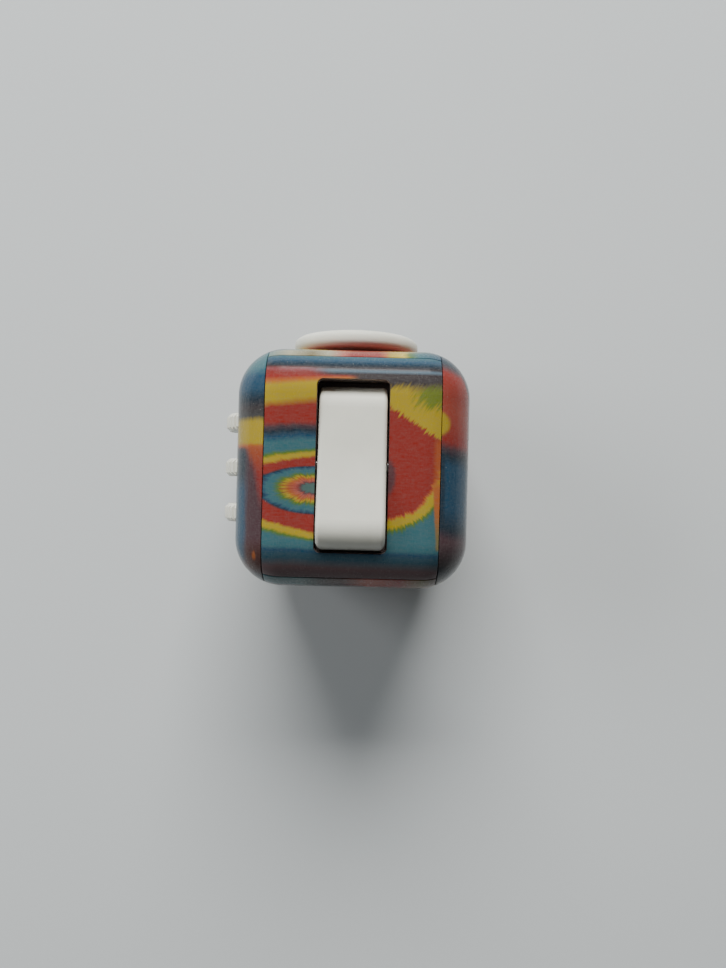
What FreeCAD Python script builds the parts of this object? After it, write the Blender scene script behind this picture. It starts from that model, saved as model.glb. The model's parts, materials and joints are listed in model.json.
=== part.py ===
import FreeCAD, Part
import math
import os
import re
import Sketcher
from FreeCAD import Placement, Rotation, Vector

# A fidget cube: a hollow rounded cube with a different toy on each face.
#   top    (+Z)  rocker switch         bottom (-Z)  turning dial the cube stands on
#   left   (-X)  three gears and ball  right  (+X)  five push buttons
#   back   (+Y)  sliding joystick      front  (-Y)  worry-stone dimple
# Millimetres.  The origin is on the table under the centre of the dial.

doc = FreeCAD.newDocument("FidgetCube")
sheet = doc.addObject("Spreadsheet::Sheet", "Dims")

SIZES = (
    ("body_x", "33.0", "shell width across the two end caps"),
    ("back_y", "16.65", "centre to joystick face"),
    ("front_y", "17.1", "centre to dimple face"),
    ("body_z", "33.0", "shell height"),
    ("half_x", "=body_x / 2", "centre to cap face"),
    ("half_z", "=body_z / 2", "centre to top or bottom face"),
    ("edge_round", "6.8", "rounding of the twelve outer edges"),
    ("wall", "1.8", "wall of caps, top and bottom"),
    ("in_x", "=half_x - wall", "centre to inside of a cap"),
    ("in_y", "15.25", "centre to inside of front or back"),
    ("in_z", "=half_z - wall", "centre to inside of top or bottom"),
    ("cavity_round", "5.0", "rounding inside the shell"),
    ("cap_seam", "12.0", "centre to the middle of a cap seam"),
    ("seam_gap", "0.09", "width of every seam"),
    ("seam_round", "0.1", "rounding of the outer edges along the seams"),
    ("seam_y", "10.1", "long seams start here, near the edge rounding's centre"),
    ("seam_z", "9.7", "long seams start here, near the edge rounding's centre"),
    ("seam_angle", "49.9", "long seams, degrees from vertical"),
    ("dial_height", "2.4", "dial proud of the bottom face"),
    ("centre_height", "=half_z + dial_height", "cube centre above the table"),
    ("slip", "0.05", "running clearance on a pin or in a guide"),
    ("gap", "0.1", "assembly clearance"),
    ("screw_r", "0.7", "screw shank radius"),
    ("head_r", "1.3", "screw head radius"),
    ("head_h", "0.8", "screw head height"),
    ("bar_x", "9.3", "inner side of the frame bars"),
    ("bar_y", "12.8", "inner side of the frame bars"),
    ("bar_z", "11.8", "inner side of the frame bars"),
    ("peg_r", "0.8", "press pegs that hold the caps"),
    ("peg_y", "9.0", "peg position"),
    ("peg_z", "13.0", "peg position"),
    ("recess_x", "9.9", "rocker opening width"),
    ("recess_y", "23.6", "rocker opening length"),
    ("recess_round", "0.9", "rocker opening corner radius"),
    ("rocker_x", "9.3", "rocker width"),
    ("rocker_y", "22.75", "rocker length"),
    ("pivot_z", "14.8", "rocker pivot above the cube centre"),
    ("rocker_end", "2.75", "rocker end above the pivot when level"),
    ("rocker_crease", "2.0", "middle crease above the pivot"),
    ("rocker_tip", "1.0", "rocker end underside below the pivot"),
    ("rocker_belly", "1.5", "rocker middle underside below the pivot"),
    ("rocker_tilt", "10.5", "tilt of the rocker at rest, degrees"),
    ("rocker_corner", "1.0", "rounding of the rocker corners seen from above"),
    ("rocker_round", "3.4", "rounding of the two finger ends"),
    ("rocker_edge", "0.6", "rounding of the long edges"),
    ("rocker_blend", "35.0", "curve that blends the middle crease"),
    ("drum_r", "2.3", "round cam under the rocker"),
    ("pin_r", "0.8", "rocker pin radius"),
    ("pin_x", "12.6", "rocker pin length"),
    ("tub_wall", "0.8", "rocker tub wall"),
    ("tub_floor", "11.15", "tub floor above the cube centre"),
    ("detent_r", "1.0", "detent ball radius"),
    ("gear_r", "5.0", "gear radius over the teeth"),
    ("gear_y", "2.55", "gear thickness"),
    ("gear_pitch", "6.5", "gear spacing along the axle"),
    ("gear_teeth", "36", "teeth on each gear"),
    ("tooth_depth", "0.35", "tooth depth"),
    ("gear_chamfer", "0.55", "bevel of the gear rims"),
    ("axle_x", "13.66", "gear axle from the cube centre"),
    ("axle_z", "6.7", "gear axle above the cube centre"),
    ("axle_r", "0.9", "gear axle radius"),
    ("axle_y", "19.4", "gear axle length"),
    ("gear_shift", "-0.4", "middle gear from the cap's middle"),
    ("slot_clear", "0.3", "air around gears and ball in the cap"),
    ("ball_r", "4.5", "ball radius"),
    ("ball_x", "13.5", "ball centre from the cube centre"),
    ("ball_z", "6.0", "ball centre below the cube centre"),
    ("cup_r", "5.0", "ball cup radius"),
    ("sleeve_r", "5.7", "ball sleeve radius"),
    ("disc_r", "9.6", "joystick disc radius"),
    ("disc_top", "3.3", "joystick disc top off the back face"),
    ("disc_low", "1.0", "joystick rim underside off the back face"),
    ("rim_round", "1.1", "rounding of the joystick rim"),
    ("neck_r", "3.5", "joystick neck radius"),
    ("glide", "1.8", "joystick travel each way"),
    ("flange", "7.6", "square guide of the joystick stem"),
    ("carriage_x", "11.8", "carriage width"),
    ("carriage_z", "15.2", "carriage height"),
    ("dimple_r", "22.0", "worry-stone dimple curvature"),
    ("dimple_depth", "2.2", "worry-stone dimple depth"),
    ("button_r", "2.5", "button radius"),
    ("button_pitch", "6.0", "outer buttons from the middle one"),
    ("button_out", "0.6", "button proud of the cap"),
    ("button_dome", "5.5", "curvature of the button tops"),
    ("button_flange", "3.2", "button collar radius"),
    ("post_r", "1.6", "button plate posts"),
    ("post_at", "9.8", "post position"),
    ("plate_x", "10.4", "outer side of the button plate"),
    ("plate_half", "10.9", "half size of the button plate"),
    ("dial_r", "9.0", "dial radius"),
    ("hub_r", "3.95", "dial hub radius"),
    ("wire", "0.45", "spring wire diameter"),
)

for row, (alias, value, note) in enumerate(SIZES, start=1):
    sheet.set(f"A{row}", alias)
    sheet.setAlias(f"B{row}", alias)
    sheet.set(f"C{row}", note)
for row, (alias, value, note) in enumerate(SIZES, start=1):
    sheet.set(f"B{row}", value)
doc.recompute()

ALIASES = {alias for alias, _, _ in SIZES}
TURN = {
    "+Z": Rotation(),
    "-Z": Rotation(Vector(1, 0, 0), 180),
    "+X": Rotation(Vector(0, 1, 0), 90),
    "-X": Rotation(Vector(0, 1, 0), -90),
    "+Y": Rotation(Vector(1, 0, 0), -90),
    "-Y": Rotation(Vector(1, 0, 0), 90),
}
NODES = []


def size(alias):
    """Return one driving size as a number."""
    return float(sheet.get(alias))


def formula(text):
    """Point every named size in a formula at the sheet."""
    def point(found):
        word = found.group(0)
        return "Dims." + word if word in ALIASES else word
    return re.sub(r"[a-z_]+", point, text)


def number(text):
    """Work out a formula as a plain number."""
    return float(sheet.evalExpression(formula(text)))


def bind(thing, **formulas):
    """Drive properties of an object from the sheet."""
    for name, text in formulas.items():
        thing.setExpression(name, formula(text))
    return thing


def place(thing, turn="+Z", x="0", y="0", z="0"):
    """Turn an object to face a direction and drive its position."""
    thing.Placement = Placement(Vector(0, 0, 0), TURN[turn])
    for axis, text in zip("xyz", (x, y, z)):
        thing.setExpression("Placement.Base." + axis, formula(text))
    return thing


def box(name, x, y, z):
    """Make a block from a pair of limits on each axis."""
    block = doc.addObject("Part::Box", name)
    spans = [f"({high}) - ({low})" for low, high in (x, y, z)]
    bind(block, Length=spans[0], Width=spans[1], Height=spans[2])
    return place(block, "+Z", x[0], y[0], z[0])


def middle_box(name, x, y, z):
    """Make a block centred on X and Y, with limits on Z."""
    return box(name, (f"-({x}) / 2", f"({x}) / 2"), (f"-({y}) / 2", f"({y}) / 2"), z)


def rod(name, turn, radius, length, x="0", y="0", z="0"):
    """Make a cylinder that starts at a point and runs along a direction."""
    cylinder = doc.addObject("Part::Cylinder", name)
    bind(cylinder, Radius=radius, Height=length)
    return place(cylinder, turn, x, y, z)


def sphere(name, radius, x="0", y="0", z="0"):
    """Make a ball at a point."""
    globe = doc.addObject("Part::Sphere", name)
    bind(globe, Radius=radius)
    return place(globe, "+Z", x, y, z)


def fuse(name, parts):
    """Join solids into one."""
    joined = doc.addObject("Part::MultiFuse", name)
    joined.Shapes = parts
    joined.Refine = True
    return joined


def cut(name, base, tools):
    """Take one or more solids away from another."""
    result = doc.addObject("Part::Cut", name)
    result.Base = base
    result.Tool = tools[0] if len(tools) == 1 else group(name + "_tools", tools)
    return result


def common(name, first, second):
    """Keep what two solids share."""
    shared = doc.addObject("Part::Common", name)
    shared.Base = first
    shared.Tool = second
    return shared


def group(name, parts):
    """Gather solids without joining them."""
    gathered = doc.addObject("Part::Compound", name)
    gathered.Links = parts
    return gathered


def rounded(name, base, alias, wanted):
    """Round chosen edges of a solid by a named radius."""
    doc.recompute()
    picked = [index for index, edge in enumerate(base.Shape.Edges, 1) if wanted(edge)]
    result = doc.addObject("Part::Fillet", name)
    result.Base = base
    result.Edges = [(index, size(alias), size(alias)) for index in picked]
    return result


def always(edge):
    """Choose every edge."""
    return True


def upright(edge):
    """Choose straight edges along Z."""
    ends = [vertex.Point for vertex in edge.Vertexes]
    return len(ends) == 2 and abs((ends[0] - ends[1]).normalize().z) > 0.99


def plane(body, role):
    """Find an origin plane or axis of a body."""
    return next(item for item in body.Origin.OriginFeatures if item.Role == role)


def outline_sketch(body, name, role, points):
    """Draw a closed outline on an origin plane with every corner driven."""
    sketch = body.newObject("Sketcher::SketchObject", name)
    sketch.AttachmentSupport = [(plane(body, role), "")]
    sketch.MapMode = "FlatFace"
    corners = [Vector(number(a), number(b), 0) for a, b in points]
    count = len(corners)
    for index in range(count):
        line = Part.LineSegment(corners[index], corners[(index + 1) % count])
        sketch.addGeometry(line, False)
    for index in range(count):
        following = (index + 1) % count
        sketch.addConstraint(Sketcher.Constraint("Coincident", index, 2, following, 1))
    for index, (a, b) in enumerate(points):
        pin_corner(sketch, index, "X", a, corners[index].x)
        pin_corner(sketch, index, "Y", b, corners[index].y)
    return sketch


def pin_corner(sketch, index, axis, text, value):
    """Tie one coordinate of a sketch corner to a formula."""
    if abs(value) < 1e-9:
        line = -2 if axis == "X" else -1
        sketch.addConstraint(Sketcher.Constraint("PointOnObject", index, 1, line))
        return
    kind = "Distance" + axis
    place_in_list = sketch.addConstraint(Sketcher.Constraint(kind, -1, 1, index, 1, value))
    name = f"corner_{index}_{axis.lower()}"
    sketch.renameConstraint(place_in_list, name)
    sketch.setExpression("Constraints." + name, formula(text))


def lathe(name, points):
    """Turn an outline of radius and height pairs around the body's Z axis."""
    body = doc.addObject("PartDesign::Body", name)
    sketch = outline_sketch(body, name + "_profile", "XZ_Plane", points)
    turned = body.newObject("PartDesign::Revolution", name + "_turned")
    turned.Profile = sketch
    turned.ReferenceAxis = (sketch, ["V_Axis"])
    turned.Angle = 360
    body.Tip = turned
    doc.recompute()
    return body


def extruded(name, role, points, length):
    """Push an outline out to both sides of an origin plane."""
    body = doc.addObject("PartDesign::Body", name)
    sketch = outline_sketch(body, name + "_profile", role, points)
    pad = body.newObject("PartDesign::Pad", name + "_pad")
    pad.Profile = sketch
    pad.SideType = "Symmetric"
    bind(pad, Length=length)
    body.Tip = pad
    doc.recompute()
    return body


def soften(body, name, radius, wanted):
    """Round chosen edges of the body's last feature."""
    last = body.Tip
    picked = [f"Edge{index}" for index, edge in enumerate(last.Shape.Edges, 1) if wanted(edge)]
    feature = body.newObject("PartDesign::Fillet", name)
    feature.Base = (last, picked)
    bind(feature, Radius=radius)
    body.Tip = feature
    doc.recompute()
    return body


def ring_edge(radius, height):
    """Choose the circular edge of a given radius and height."""
    def wanted(edge):
        if not isinstance(edge.Curve, Part.Circle):
            return False
        same_radius = abs(edge.Curve.Radius - number(radius)) < 1e-4
        return same_radius and abs(edge.Curve.Center.z - number(height)) < 1e-4
    return wanted


def node(label, thing, turn="+Z", x="0", y="0", z="0"):
    """Name a finished piece and stand it in its place above the table."""
    thing.Label = label
    place(thing, turn, x, y, f"{z} + centre_height")
    NODES.append(thing)
    return thing


def coil(label, radius, length, turns, turn, x="0", y="0", z="0"):
    """Wind a compression spring that stands on its starting point."""
    thick = size("wire")
    slack = 0.04
    rise = number(length) - thick - 2 * slack
    helix = Part.makeHelix(rise / turns, rise, number(radius))
    path = helix.Edges[0]
    first = path.FirstParameter
    section = Part.Wire(Part.makeCircle(thick / 2, path.valueAt(first), path.tangentAt(first)))
    wound = Part.Wire(helix.Edges).makePipeShell([section], True, True)
    wound.translate(Vector(0, 0, thick / 2 + slack))
    spring = doc.addObject("Part::Feature", label)
    spring.Shape = Part.makeCompound([wound])
    return node(label, spring, turn, x, y, z)


def screw_set(label, turn, spots, length):
    """Make a set of slotted screws and the holes they sit in.

    Each spot is the underside of a head; the shank runs along the direction.
    """
    screws = []
    holes = []
    for index, (x, y, z) in enumerate(spots):
        tag = f"{label}_{index}"
        head = rod(tag + "_head", "+Z", "head_r", "head_h", z="-head_h")
        shank = rod(tag + "_shank", "+Z", "screw_r", length)
        slot = middle_box(tag + "_slot", "3 * head_r", "head_r / 3", ("-head_h", "-head_h / 2"))
        screw = cut(tag, fuse(tag + "_blank", [head, shank]), [slot])
        screws.append(place(screw, turn, x, y, z))
        hole = rod(tag + "_hole", turn, "screw_r + slip / 2", f"{length} + gap", x, y, z)
        holes.append(hole)
    return screws, holes


# ---------------------------------------------------------------- shell

def rounded_block(name, x, y, z, alias):
    """Make a block with all twelve edges rounded; y is a pair of limits."""
    block = box(name + "_block", (f"-({x})", x), y, (f"-({z})", z))
    return rounded(name, block, alias, always)


def on_outside(point):
    """Tell whether a point lies on the outer surface of the shell."""
    deep = number("front_y") if point.y < 0 else number("back_y")
    half = (number("half_x"), deep, number("half_z"))
    curve = number("edge_round")
    over = [max(abs(value) - limit + curve, 0) for value, limit in zip(point, half)]
    reach = max(abs(value) - limit for value, limit in zip(point, half))
    return abs(Vector(*over).Length - curve) < 1e-3 and reach < 1e-3


def seam_edge(edge):
    """Choose the outer edges of a shell piece that run along a seam."""
    first, last = edge.FirstParameter, edge.LastParameter
    points = [edge.valueAt(spot) for spot in (first, (first + last) / 2, last)]
    angle = math.radians(number("seam_angle"))
    half_gap = number("seam_gap") / 2

    def at_cap(point):
        return abs(abs(abs(point.x) - number("cap_seam")) - half_gap) < 1e-3

    def at_long_seam(point):
        across = (abs(point.y) - number("seam_y")) * math.cos(angle)
        down = (abs(point.z) - number("seam_z")) * math.sin(angle)
        return abs(abs(across - down) - half_gap) < 1e-3

    on_seam = all(map(at_cap, points)) or all(map(at_long_seam, points))
    return on_seam and all(map(on_outside, points))


def belt_cell(name, sign, upright_cell):
    """Make the wedge-sided block that holds one of the four belt panels."""
    reach = "12"
    shift = "-seam_gap / 2" if upright_cell else "seam_gap / 2"
    y_near = f"seam_y + {shift} * cos(seam_angle)"
    z_near = f"seam_z - {shift} * sin(seam_angle)"
    y_far = f"{y_near} + {reach} * sin(seam_angle)"
    z_far = f"{z_near} + {reach} * cos(seam_angle)"
    if upright_cell:
        points = [(f"-({y_near})", z_near), (y_near, z_near), (y_far, z_far), (f"-({y_far})", z_far)]
        points = [(a, f"{sign}({b})") for a, b in points]
    else:
        points = [(y_near, f"-({z_near})"), (y_far, f"-({z_far})"), (y_far, z_far), (y_near, z_near)]
        points = [(f"{sign}({a})", b) for a, b in points]
    return extruded(name, "YZ_Plane", points, "2 * cap_seam - seam_gap")


def make_shell():
    """Return the raw caps and panels before their openings are cut."""
    outer = rounded_block("outer_form", "half_x", ("-front_y", "back_y"), "half_z", "edge_round")
    cavity = rounded_block("cavity", "in_x", ("-in_y", "in_y"), "in_z", "cavity_round")
    skin = cut("skin", outer, [cavity])
    far = ("-20", "20")
    seam = "cap_seam + seam_gap / 2"
    cells = {
        "left": box("left_cell", ("-20", f"-({seam})"), far, far),
        "right": box("right_cell", (seam, "20"), far, far),
        "top": belt_cell("top_cell", "+", True),
        "bottom": belt_cell("bottom_cell", "-", True),
        "back": belt_cell("back_cell", "+", False),
        "front": belt_cell("front_cell", "-", False),
    }
    raw = {side: common(side + "_raw", skin, cell) for side, cell in cells.items()}
    return {side: rounded(side + "_eased", piece, "seam_round", seam_edge) for side, piece in raw.items()}


def frame_space():
    """Make the space inside the walls, less the assembly clearance."""
    deep = ("-in_y + gap", "in_y - gap")
    return rounded_block("frame_space", "in_x - gap", deep, "in_z - gap", "cavity_round")


def cap_pegs(side):
    """Make the four press pegs of one cap; side is + or -."""
    turn = "+X" if side == "+" else "-X"
    start = f"{side}(cap_seam - 2.1)"
    pegs = []
    for index, (a, b) in enumerate((("", ""), ("-", ""), ("", "-"), ("-", "-"))):
        name = f"peg_{turn}_{index}".replace("+", "p").replace("-", "m")
        pegs.append(rod(name, turn, "peg_r", "4.5", start, a + "peg_y", b + "peg_z"))
    return pegs


def peg_holes(side):
    """Make the four holes that take the pegs of one cap."""
    turn = "+X" if side == "+" else "-X"
    start = f"{side}(cap_seam - 2.3)"
    holes = []
    for index, (a, b) in enumerate((("", ""), ("-", ""), ("", "-"), ("-", "-"))):
        name = f"socket_{turn}_{index}".replace("+", "p").replace("-", "m")
        holes.append(rod(name, turn, "peg_r + slip", "4", start, a + "peg_y", b + "peg_z"))
    return holes


def make_frame(space, screw_holes):
    """Make the inner frame: a block with a wide tunnel through each face."""
    belt = box("frame_length", ("-cap_seam + gap", "cap_seam - gap"), ("-20", "20"), ("-20", "20"))
    blank = common("frame_blank", space, belt)
    far = ("-20", "20")
    tunnels = [
        box("tunnel_x", far, ("-bar_y", "bar_y"), ("-bar_z", "bar_z")),
        box("tunnel_y", ("-bar_x", "bar_x"), far, ("-bar_z", "bar_z")),
        box("tunnel_z", ("-bar_x", "bar_x"), ("-bar_y", "bar_y"), far),
    ]
    sockets = peg_holes("+") + peg_holes("-")
    return node("core_frame", cut("frame_cut", blank, tunnels + sockets + screw_holes))


# ---------------------------------------------------------------- rocker (top)

def make_rocker():
    """Make the rocker, shallow V on top, about its own pivot."""
    end = "rocker_y / 2"
    points = [
        (f"-{end}", "rocker_end"), ("0", "rocker_crease"), (end, "rocker_end"),
        (end, "-rocker_tip"), ("3", "-rocker_belly"), ("-3", "-rocker_belly"), (f"-{end}", "-rocker_tip"),
    ]
    body = extruded("rocker_body", "YZ_Plane", points, "rocker_x")

    def finger_end(edge):
        middle = edge.CenterOfMass
        high = abs(middle.z - number("rocker_end")) < 0.01
        return high and abs(abs(middle.y) - number(end)) < 0.01

    def long_edge(edge):
        middle = edge.CenterOfMass
        side = abs(abs(middle.x) - number("rocker_x / 2")) < 0.01
        return side and middle.z > 0.8

    def crease(edge):
        middle = edge.CenterOfMass
        return abs(middle.z - number("rocker_crease")) < 0.01 and abs(middle.y) < 0.01

    soften(body, "rocker_blend", "rocker_blend", crease)
    soften(body, "rocker_finger_ends", "rocker_round", finger_end)
    soften(body, "rocker_long_edges", "rocker_edge", long_edge)
    drum = rod("rocker_drum", "+X", "drum_r", "6", x="-3")
    drum = common("rocker_cam", drum, middle_box("rocker_cam_room", "8", "8", ("-5", "0")))
    bore = rod("rocker_bore", "+X", "pin_r + slip", "12", x="-6")
    reach = "drum_r + detent_r - 0.15"
    notches = []
    for index, side in enumerate("+-"):
        across = f"{side}({reach}) * sin(rocker_tilt)"
        down = f"-({reach}) * cos(rocker_tilt)"
        notches.append(sphere(f"rocker_notch_{index}", "detent_r + slip", y=across, z=down))
    plan = middle_box("rocker_plan", "rocker_x", "rocker_y", ("-5", "5"))
    plan = rounded("rocker_plan_round", plan, "rocker_corner", upright)
    blank = fuse("rocker_blank", [common("rocker_trim", body, plan), drum])
    rocker = cut("rocker_cut", blank, [bore] + notches)
    node("rocker", rocker, z="pivot_z")
    rocker.Placement = Placement(rocker.Placement.Base, Rotation(Vector(1, 0, 0), -size("rocker_tilt")))
    return rocker


def make_rocker_seat(space):
    """Make the tub, pin, detent ball and spring; return the tub's screw holes."""
    wide = "recess_x + 2 * tub_wall"
    long = "recess_y + 2 * tub_wall"
    floor_low = "tub_floor - 1"
    shell = middle_box("tub_outside", wide, long, (floor_low, "in_z"))
    lip = box("tub_lip", ("-8.8", "8.8"), ("-9.6", "9.6"), ("in_z - 1.2", "in_z"))
    ears = middle_box("tub_ears", f"{wide} + 1.4", "4.4", (floor_low, "in_z + 1.2"))
    boss = rod("tub_boss", "+Z", "2.2", "4.2", z="tub_floor - 4.2")
    blank = fuse("tub_blank", [common("tub_trim", fuse("tub_body", [shell, lip]), space), ears, boss])
    hollow = middle_box("tub_hollow", "recess_x", "recess_y", ("tub_floor", "20"))
    bore = rod("tub_bore", "+Z", "detent_r + slip", "8", z="tub_floor - 3.7")
    pin_hole = rod("tub_pin_hole", "+X", "pin_r + slip / 2", "20", x="-10", z="pivot_z")
    spots = [(f"{a}7.2", f"{b}8", "in_z - 1.2") for a in "+-" for b in "+-"]
    screws, holes = screw_set("tub_screw", "+Z", spots, "2.3")
    node("rocker_tub", cut("tub_cut", blank, [hollow, bore, pin_hole] + holes))
    node("rocker_tub_screws", group("tub_screws", screws))
    pin = doc.addObject("Part::Cylinder", "pin_cylinder")
    bind(pin, Radius="pin_r", Height="pin_x")
    node("rocker_pin", pin, "+X", x="-pin_x / 2", z="pivot_z")
    ball = doc.addObject("Part::Sphere", "detent_sphere")
    bind(ball, Radius="detent_r")
    node("rocker_detent_ball", ball, z="pivot_z - drum_r - detent_r - slip")
    low = "tub_floor - 3.7"
    length = "pivot_z - drum_r - 2 * detent_r - slip - (tub_floor - 3.7) - slip"
    coil("rocker_detent_spring", "0.7", length, 4, "+Z", z=low)
    return holes


def make_top_panel(raw, holes):
    """Open the top panel for the rocker and its pin supports."""
    window = middle_box("rocker_window", "recess_x", "recess_y", ("10", "20"))
    window = rounded("rocker_window_round", window, "recess_round", upright)
    wide = "recess_x + 2 * tub_wall + 1.6"
    pockets = middle_box("ear_pockets", wide, "4.6", ("10", "in_z + 1.3"))
    node("top_panel", cut("top_panel_cut", raw, [window, pockets] + holes))


# ---------------------------------------------------------------- gears and ball (left)

def make_gears():
    """Make three identical gears, their fixed axle and the bracket."""
    for index, name in enumerate(("gear_front", "gear_middle", "gear_back")):
        half = "gear_y / 2"
        points = [
            ("axle_r + slip", f"-{half}"), ("gear_r - gear_chamfer", f"-{half}"),
            ("gear_r", f"-{half} + gear_chamfer"), ("gear_r", f"{half} - gear_chamfer"),
            ("gear_r - gear_chamfer", half), ("axle_r + slip", half),
        ]
        body = lathe(name + "_body", points)
        notch_points = [
            ("gear_r - tooth_depth", "-0.1"), ("gear_r + 0.2", "-0.36"),
            ("gear_r + 0.2", "0.36"), ("gear_r - tooth_depth", "0.1"),
        ]
        sketch = outline_sketch(body, name + "_gap", "XY_Plane", notch_points)
        notch = body.newObject("PartDesign::Pocket", name + "_notch")
        notch.Profile = sketch
        notch.SideType = "Symmetric"
        notch.Type = 1
        body.Tip = notch
        doc.recompute()
        teeth = body.newObject("PartDesign::PolarPattern", name + "_teeth")
        teeth.Originals = [notch]
        teeth.Axis = (plane(body, "Z_Axis"), [""])
        teeth.Angle = 360
        bind(teeth, Occurrences="gear_teeth")
        body.Tip = teeth
        node(name, body, "+Y", x="-axle_x", y=f"{index - 1} * gear_pitch + gear_shift", z="axle_z")


def make_gear_mount(space):
    """Make the gear axle and the bracket that carries it."""
    axle = doc.addObject("Part::Cylinder", "axle_cylinder")
    bind(axle, Radius="axle_r", Height="axle_y")
    node("gear_axle", axle, "-Y", x="-axle_x", y="axle_y / 2 + gear_shift", z="axle_z")
    deep = ("-in_x + gap", "-9")
    walls = []
    for index, (low, high) in enumerate((("-9.7", "-8.3"), ("8.3", "9.7"))):
        across = (f"{low} + gear_shift", f"{high} + gear_shift")
        walls.append(box(f"cheek_{index}", deep, across, ("0.2", "10.8")))
    for index, (low, high) in enumerate((("-4.85", "-1.65"), ("1.65", "4.85"))):
        across = (f"{low} + gear_shift", f"{high} + gear_shift")
        walls.append(box(f"web_{index}", ("-axle_x - 0.4", "-9"), across, ("0.2", "8.6")))
    span = ("-9.7 + gear_shift", "9.7 + gear_shift")
    bar = box("bracket_bar", ("-13.4", "-9"), span, ("0.2", "1.3"))
    wide = ("-12.4 + gear_shift", "12.4 + gear_shift")
    ears = box("bracket_ears", ("-in_x + gap", "-in_x + gap + 1.3"), wide, ("3.4", "7.6"))
    inner = ("-9 + gear_shift", "9 + gear_shift")
    room = box("bracket_room", ("-20", "0"), inner, ("3.4", "7.6"))
    ears = cut("bracket_ear_pair", ears, [room])
    blank = common("bracket_blank", fuse("bracket_body", walls + [bar, ears]), space)
    hole = rod("bracket_hole", "+Y", "axle_r + slip / 2", "30", x="-axle_x", y="-15", z="axle_z")
    spots = [("-in_x + gap + 1.3", f"{side}11.3 + gear_shift", "5.5") for side in "+-"]
    screws, holes = screw_set("bracket_screw", "-X", spots, "2.3")
    node("gear_bracket", cut("bracket_cut", blank, [hole] + holes))
    node("gear_bracket_screws", group("bracket_screws", screws))
    return holes


def make_ball(space):
    """Make the ball, its sprung cup and the sleeve the cup slides in."""
    ball = doc.addObject("Part::Sphere", "ball_sphere")
    bind(ball, Radius="ball_r")
    node("ball", ball, x="-ball_x", z="-ball_z")
    cup_points = [
        ("0", "ball_x - ball_r - 1"), ("cup_r", "ball_x - ball_r - 1"),
        ("cup_r", "ball_x - 0.1"), ("0", "ball_x - 0.1"),
    ]
    blank = lathe("cup_blank", cup_points)
    pocket = sphere("cup_pocket", "ball_r + slip", z="ball_x")
    node("ball_cup", cut("cup_cut", blank, [pocket]), "-X", z="-ball_z")
    back = "ball_x - ball_r - 3.6"
    coil("ball_spring", "3.2", "2.55", 3, "-X", x=f"-({back}) - slip / 2", z="-ball_z")
    outside = rod("sleeve_outside", "-X", "sleeve_r", f"in_x - gap - ({back}) + 1", x=f"-({back}) + 1", z="-ball_z")
    ears = box("sleeve_ears", ("-in_x + gap", "-in_x + gap + 1.3"), ("-9.2", "9.2"), ("-ball_z - 2", "-ball_z + 2"))
    blank = common("sleeve_blank", fuse("sleeve_body", [outside, ears]), space)
    inside = rod("sleeve_inside", "-X", "cup_r + slip", "12", x=f"-({back})", z="-ball_z")
    spots = [("-in_x + gap + 1.3", f"{side}7.6", "-ball_z") for side in "+-"]
    screws, holes = screw_set("sleeve_screw", "-X", spots, "2.3")
    node("ball_sleeve", cut("sleeve_cut", blank, [inside] + holes))
    node("ball_sleeve_screws", group("sleeve_screws", screws))
    return holes


def make_left_cap(raw, holes):
    """Open the left cap for the gears and the ball."""
    blank = fuse("left_cap_blank", [raw] + cap_pegs("-"))
    slots = []
    width = "gear_y + 2 * slot_clear"
    for index in (-1, 0, 1):
        start = f"{index} * gear_pitch + gear_shift - ({width}) / 2"
        name = f"gear_slot_{index + 1}"
        slots.append(rod(name, "+Y", "gear_r + slot_clear", width, "-axle_x", start, "axle_z"))
    seat = sphere("ball_seat", "ball_r + slot_clear", "-ball_x", "0", "-ball_z")
    node("left_cap", cut("left_cap_cut", blank, slots + [seat] + holes))


# ---------------------------------------------------------------- joystick (back)

def make_joystick():
    """Make the joystick disc and its stem, both turned about the stick."""
    low = "back_y + disc_low"
    top = "back_y + disc_top"
    points = [
        ("0", "back_y + 0.05"), ("neck_r", "back_y + 0.05"), ("neck_r", "back_y + 0.4"),
        ("neck_r + 1.1", "back_y + 0.55"), ("disc_r", low), ("disc_r", top), ("0", top),
    ]
    body = lathe("disc_body", points)

    def rim(edge):
        round_edge = isinstance(edge.Curve, Part.Circle)
        return round_edge and abs(edge.Curve.Radius - number("disc_r")) < 1e-4

    soften(body, "disc_rim", "rim_round", rim)
    dish = sphere("disc_dish", "60", z=f"{top} + 60 - 0.45")
    socket = rod("disc_socket", "+Z", "1.6 + slip / 2", "2.0", z="back_y")
    node("joystick_cap", cut("disc_cut", body, [dish, socket]), "+Y")
    flange = middle_box("stem_flange", "flange", "flange", ("in_y - 2.6", "in_y - 0.4"))
    neck = rod("stem_neck", "+Z", "neck_r", "back_y - (in_y - 0.4)", z="in_y - 0.4")
    peg = rod("stem_peg", "+Z", "1.6", "2.1", z="back_y - 0.2")
    tail = rod("stem_tail", "+Z", "1.5", "3.9", z="in_y - 6.4")
    node("joystick_stem", fuse("stem_body", [flange, neck, peg, tail]), "+Y")


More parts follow.
